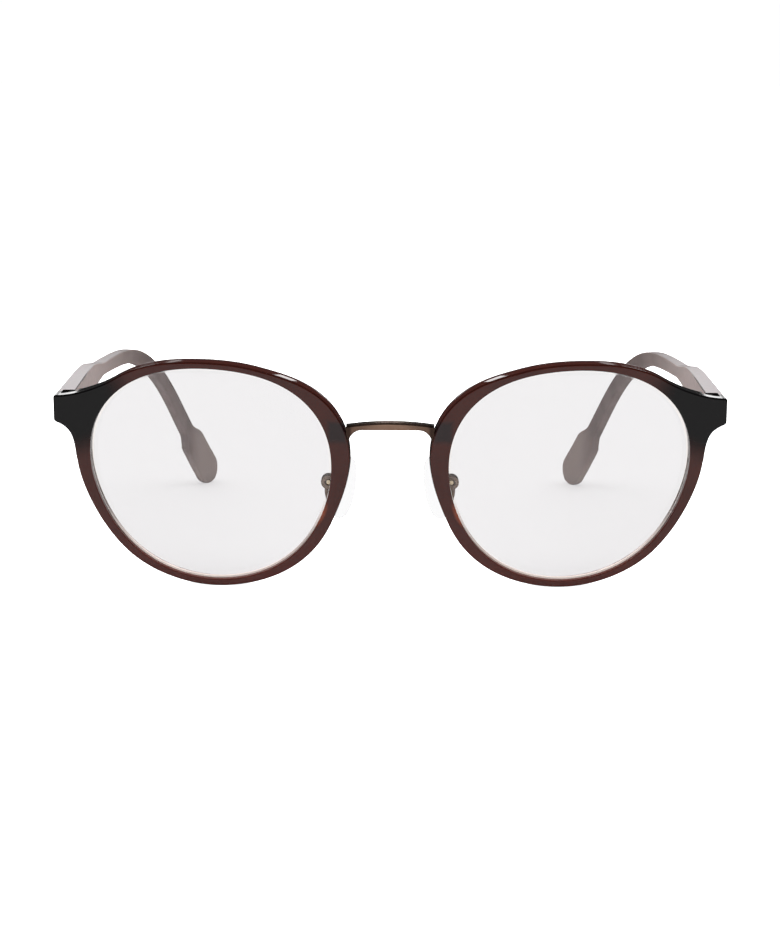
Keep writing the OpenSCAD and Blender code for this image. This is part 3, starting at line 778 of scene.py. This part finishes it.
pad_x, pad_drop, pad_back, pad_h, pad_w, pad_t = 12.6, -2.5, 5.2, 13, 7, 2.8
pad_splay, pad_lean, pad_egg, pad_sink = 25, 12, 0.14, 0.9
cheek_r, cheek_t, cheek_bevel, mouth_angle, web_from = 1.5, 0.75, 0.14, 45, 1
tongue_t, tongue_r, tongue_gap = 1, 0.85, 0.1
pad_screw_r, pad_screw_bevel, pad_head_r, pad_head_h, pad_head_dome = 0.5, 0.1, 0.8, 0.4, 0.2
pad_slot, pad_slot_depth, pad_slot_turn = (1, 0.1), 0.22, 30
sink_r, sink_depth, sink_land, bore_reach, arm_play, core_play = 0.78, 0.2, 0.02, 2, 0.03, 0.06
plate_set, plate_t, plate_w, plate_h, plate_sink = 2.6, 0.6, 2.6, 4.2, 0.4
stem_sink, core_edge = 0.25, 0.1
box_half = cheek_t + tongue_gap + tongue_t / 2
pad_seat = on_rim((pad_x - lens_x) / cosd(front_wrap), rim_depth, pad_drop)
pad_pivot = Vector((pad_x, pad_seat.y + pad_back, pad_seat.z))
pad_turn = turn("Z", -pad_splay) @ turn("Y", -pad_lean)

# The arm's wire: where it starts in the rim, how far it goes in and out, and its two pulls
arm_d, arm_angle, arm_seat, arm_depth = 1, 201, 0.55, 1.8
seat_fit, arm_rise, arm_pull = 0.03, 0.6, 4
arm_root = opening(arm_angle) + lens_normal(arm_angle) * limb(arm_angle) * arm_seat
arm_in = on_rim(arm_root.x, rim_depth - arm_depth + seat_fit, arm_root.y)
arm_out = on_rim(arm_root.x, rim_depth + arm_rise, arm_root.y)
arm_end = pad_pivot + Vector((0.3, 0, -1.4))
arm_end_pull = Vector((0.1, 0.3, -2))

# The pad's outline shrinks to these shares of its size at these shares of its thickness
pad_profile = [(0.80, 0), (0.86, 0.05), (0.93, 0.13), (0.97, 0.22), (0.993, 0.33), (1, 0.45),
               (0.985, 0.58), (0.95, 0.70), (0.90, 0.80), (0.81, 0.88), (0.70, 0.935),
               (0.55, 0.972), (0.36, 0.992), (0.15, 1)]


def on_pad(p):
    return pad_pivot + pad_turn @ (Vector(p) + Vector((-plate_set, 0, 0)))


def on_box(p):
    """Place in the box's own frame, whose mouth opens sideways and down towards the pad."""
    return pad_pivot + turn("Y", mouth_angle) @ Vector(p)


def pad_disc(name, profile, side):
    return disc(name, pad_pivot, (0, 1, 0), profile, side)


def make_pad_arm(name, side):
    way = (arm_out - arm_in).normalized()
    steps = 40
    points = [arm_in] + [bezier(arm_out, arm_out + arm_pull * way, arm_end + arm_end_pull,
                                arm_end, i / steps) for i in range(steps + 1)]
    rings = []
    for i, p in enumerate(points):
        t = (points[min(i + 1, steps + 1)] - points[max(i - 1, 0)]).normalized()
        u = t.cross(Vector((1, 0, 0))).normalized()
        v = u.cross(t)
        rings.append([p + arm_d / 2 * (cosd(a) * u + sind(a) * v) for a in range(0, 360, 20)])
    wire = loft("pad_arm_" + name, rings, side)
    cheeks = pad_disc("cheeks", [(-box_half, cheek_r - cheek_bevel),
                                 (cheek_bevel - box_half, cheek_r),
                                 (box_half - cheek_bevel, cheek_r),
                                 (box_half, cheek_r - cheek_bevel)], side)
    gap, bore_r = tongue_t / 2 + tongue_gap, pad_screw_r + arm_play
    mouth = block((web_from - THROUGH, -gap, -THROUGH), (web_from, gap, THROUGH), on_box, side)
    bore = pad_disc("bore", [(-bore_reach, sink_r), (sink_land - box_half, sink_r),
                             (sink_depth - box_half, bore_r), (bore_reach, bore_r)], side)
    carve(cheeks, [mouth, bore])
    carve(wire, [cheeks], "UNION")
    finish_piece(wire, "front", ARM, ["pad_arm_" + name])


def make_pad_screw(name, side):
    top, soft = box_half + pad_head_h, pad_head_dome
    screw = pad_disc("pad_screw_" + name, [
        (-box_half, pad_screw_r - pad_screw_bevel), (pad_screw_bevel - box_half, pad_screw_r),
        (box_half, pad_screw_r), (box_half, pad_head_r), (top - soft, pad_head_r),
        (top - 0.3 * soft, pad_head_r - 0.3 * soft), (top, pad_head_r - soft)], side)
    long, wide = pad_slot
    slot = block((-long, top - pad_slot_depth, -wide), (long, top + wide, wide),
                 lambda p: pad_pivot + turn("Y", pad_slot_turn) @ p, side)
    carve(screw, [slot])
    finish_piece(screw, "front", GOLD, ["pad_screw_" + name])


def make_pad_core(name, side):
    half, bore_r = tongue_t / 2, pad_screw_r + core_play
    tongue = pad_disc("pad_core_" + name, [(-half, tongue_r), (half, tongue_r)], side)
    stem = block((-plate_set - stem_sink, -half, -tongue_r), (0, half, tongue_r),
                 lambda p: pad_pivot + p, side)
    carve(tongue, [stem], "UNION")
    carve(tongue, [pad_disc("bore", [(-bore_reach, bore_r), (bore_reach, bore_r)], side)])
    plate = block((-plate_t, -plate_w / 2, -plate_h / 2 - plate_sink),
                  (0, plate_w / 2, plate_h / 2 - plate_sink), on_pad, side)
    carve(tongue, [plate], "UNION")
    round_edges(tongue, core_edge)
    finish_piece(tongue, "nose_pad_" + name, STEEL, ["pad_core_" + name])


def make_nose_pad(name, side):
    rings = []
    for size, depth in pad_profile:
        wide, high = size * pad_w / 2, size * pad_h / 2
        rings.append([on_pad((-pad_t * depth, wide * cosd(a) * (1 - pad_egg * sind(a)),
                              high * sind(a) - pad_sink)) for a in range(0, 360, 5)])
    pad = loft("nose_pad_" + name, rings, side)
    finish_piece(pad, "nose_pad_" + name, SILICONE, ["nose_pad_" + name])


# Hinges and temples ---------------------------------------------------------------------------

hinge_h, hinge_screw_r, hinge_screw_bevel, hinge_edge = 4.4, 0.6, 0.12, 0.07
screw_head_r, screw_head_h, screw_head_dome = 0.95, 0.35, ((0.15, 0), (0.05, 0.07), (0, 0.25))
hinge_slot, hinge_slot_depth, hinge_slot_turn = (1.2, 0.12), 0.22, 25


def make_hinge_screw(name, side):
    half = hinge_h / 2
    top = half + screw_head_h
    profile = [(-half, hinge_screw_r - hinge_screw_bevel),
               (hinge_screw_bevel - half, hinge_screw_r), (half, hinge_screw_r),
               (half, screw_head_r)]
    profile += [(top - down, screw_head_r - inwards) for down, inwards in screw_head_dome]
    screw = disc("hinge_screw_" + name, pin, (0, 0, 1), profile, side)
    long, wide = hinge_slot
    slot = block((-long, -wide, top - hinge_slot_depth), (long, wide, half + 1),
                 lambda p: pin + turn("Z", hinge_slot_turn) @ p, side)
    carve(screw, [slot])
    finish_piece(screw, "front", HINGE, ["hinge_screw_" + name])


# The painted shade line along the temple's top edge on the head's side: its end, and the bands
# of faces round the section that it covers
shade_line_to, shade_line_bands = 44, (8, 9, 10, 11)


def make_temple(name, side):
    temple = loft("temple_" + name, temple_solid, side)
    for material in (TEMPLE, TEMPLE_SHADE_LINE):
        temple.data.materials.append(material)
    around = len(temple_solid[0])
    for i, s in enumerate(temple_steps):
        if s < shade_line_to:
            for j in shade_line_bands:
                temple.data.polygons[i * around + j].material_index = 1
    ahead = block((0, -THROUGH, -THROUGH), (3 * THROUGH, rim_depth + joint_gap, 2 * THROUGH),
                  lambda p: on_rim(*p), side)
    slot = block((pin.x - THROUGH, pin.y - THROUGH, pin.z - THROUGH),
                 (pin.x + slot_out, pin.y + temple_leaf, pin.z + THROUGH), Vector, side)
    carve(temple, [ahead, slot])
    finish_piece(temple, "temple_" + name, TEMPLE, ["temple_" + name])


bridge = make_bridge()
rims = {}
for name, side in SIDES.items():
    rims[side] = make_rim(name, side)
    make_lens(name, side)
    make_pad_arm(name, side)
    make_pad_screw(name, side)
    make_pad_core(name, side)
    make_nose_pad(name, side)
    make_hinge_screw(name, side)
    make_temple(name, side)
    for kind in ("front_hinge_", "temple_hinge_"):
        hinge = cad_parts[kind + name]
        hinge.data.materials.clear()
        hinge.data.materials.append(HINGE)
        round_edges(hinge, hinge_edge)


# Floor, light and camera, in metres -----------------------------------------------------------

floor_side, floor_front, floor_seam, floor_back = 4, -2, -0.03, 8
sky_edge, sky_seen = (0.62, 0.86), 1.02
room = (0, -0.065, 0.04)
wall_y = 0.735  # the lights that single pieces mirror stand here
camera_place, camera_aim, camera_roll = (0, -558.98, 106.92), (0, -65.75, 25.27), 0.295


def grey(value):
    return (value, value, value, 1)


def white_sheet():
    """Floor that looks white, yet throws no more light up than a grey one."""
    f = Finish("white floor", Specular_IOR_Level=0.0, Roughness=0.5, Emission_Color=grey(1))
    rays = f.add("ShaderNodeLightPath").outputs
    seen, behind_lens = rays["Is Camera Ray"], rays["Is Transmission Ray"]
    f.set("Base Color", f.blend(seen, f.blend(behind_lens, grey(0.44), grey(0.28)), grey(0.9)))
    f.set("Emission Strength", f.math("MULTIPLY_ADD", seen, 0.95, f.times(behind_lens, 0.54)))
    return f.material


def make_floor(name, y_from, y_to, sheet):
    corners = ((-floor_side, y_from), (floor_side, y_from), (floor_side, y_to), (-floor_side, y_to))
    bm = bmesh.new()
    bm.faces.new([bm.verts.new((x, y, 0)) for x, y in corners])
    floor = new_piece(name, bm)
    floor.data.materials.append(sheet)
    return floor


def soft_sky(strength, mirrored_strength, dark):
    """Light from a wide soft box overhead and dark sides; the camera sees plain white."""
    world = bpy.data.worlds.new("studio")
    world.use_nodes = True
    nodes, links = world.node_tree.nodes, world.node_tree.links
    split = nodes.new("ShaderNodeSeparateXYZ")
    links.new(nodes.new("ShaderNodeTexCoord").outputs["Generated"], split.inputs[0])
    box = nodes.new("ShaderNodeMapRange")
    box.interpolation_type = "SMOOTHSTEP"
    links.new(split.outputs["Z"], box.inputs["Value"])
    for socket, value in (("From Min", sky_edge[0]), ("From Max", sky_edge[1]), ("To Min", dark)):
        box.inputs[socket].default_value = value
    rays = nodes.new("ShaderNodeLightPath")
    mirrored = nodes.new("ShaderNodeMapRange")
    links.new(rays.outputs["Is Glossy Ray"], mirrored.inputs["Value"])
    mirrored.inputs["To Min"].default_value = strength
    mirrored.inputs["To Max"].default_value = mirrored_strength
    links.new(mirrored.outputs["Result"], box.inputs["To Max"])
    seen = nodes.new("ShaderNodeMath")
    seen.operation = "MAXIMUM"
    links.new(rays.outputs["Is Camera Ray"], seen.inputs[0])
    links.new(rays.outputs["Is Transmission Ray"], seen.inputs[1])
    mix = nodes.new("ShaderNodeMix")
    links.new(seen.outputs[0], mix.inputs["Factor"])
    links.new(box.outputs["Result"], mix.inputs[2])
    mix.inputs[3].default_value = sky_seen
    links.new(mix.outputs[0], nodes["Background"].inputs["Strength"])
    nodes["Background"].inputs["Color"].default_value = (1, 1, 1, 1)
    bpy.context.scene.world = world


def look_at(thing, place, aim, roll):
    """Sets a light or the camera at place, looking at aim, rolled by so many degrees."""
    thing.location = place
    thing.rotation_mode = "QUATERNION"
    thing.rotation_quaternion = ((Vector(aim) - Vector(place)).to_track_quat("-Z", "Y")
                                 @ turn("Z", roll).to_quaternion())
    bpy.context.scene.collection.objects.link(thing)


def soft_box(name, place, aim, size, radiance, roll=0):
    """Evenly bright rectangle that shines one way."""
    data = bpy.data.lights.new(name, "AREA")
    data.shape, data.size, data.size_y = "RECTANGLE", size[0], size[1]
    data.energy = radiance * math.pi * size[0] * size[1]
    light = bpy.data.objects.new(name, data)
    look_at(light, place, aim, roll)
    return light


def lit_only(light, *pieces):
    """Lets a light reach the given pieces alone."""
    group = bpy.data.collections.new(light.name + " reach")
    for piece in pieces:
        group.objects.link(piece)
    light.light_linking.receiver_collection = group


def wall_light(name, x, z, size, radiance, roll, piece):
    lit_only(soft_box(name, (x, wall_y, z), room, size, radiance, roll), piece)


sheet = white_sheet()
near_floor = make_floor("floor", floor_front, floor_seam, sheet)
far_floor = make_floor("far_floor", floor_seam, floor_back, sheet)
far_floor.visible_glossy = False
soft_sky(strength=1.6, mirrored_strength=0.06, dark=0.045)
for side in SIDES.values():
    wall_light("strip light", side * 0.117, 0.430, (0.062, 0.17), 3.2, 12 * side, rims[-side])
    wall_light("edge light", side * 0.150, 0.305, (0.035, 0.03), 0.8, 0, rims[side])
    wall_light("corner light", side * 0.2188, 0.2715, (0.03, 0.095), 3.0, -32 * side, rims[side])
wall_light("bridge light", 0, 0.350, (0.045, 0.05), 2.0, 0, bridge)
soft_box("low glow", (0, 0.75, 0.17), (0, 0, 0.12), (0.4, 0.1), 0.8)
backdrop = soft_box("backdrop light", (0, 9, 1.5), (0, 0, 1.5), (14, 3), 1.0)
fill = soft_box("floor fill", (0, 3, 4), (0, 3, 0), (10, 14), 1.3)
fill.data.use_shadow = False
for light in (backdrop, fill):
    lit_only(light, near_floor, far_floor)

camera_data = bpy.data.cameras.new("camera")
camera_data.sensor_width, camera_data.lens = 36, 96.15
camera_data.clip_start, camera_data.clip_end = 0.01, 20
camera = bpy.data.objects.new("camera", camera_data)
look_at(camera, Vector(camera_place) * MM, Vector(camera_aim) * MM, camera_roll)
bpy.context.scene.camera = camera
bpy.context.scene.view_settings.view_transform = "Standard"
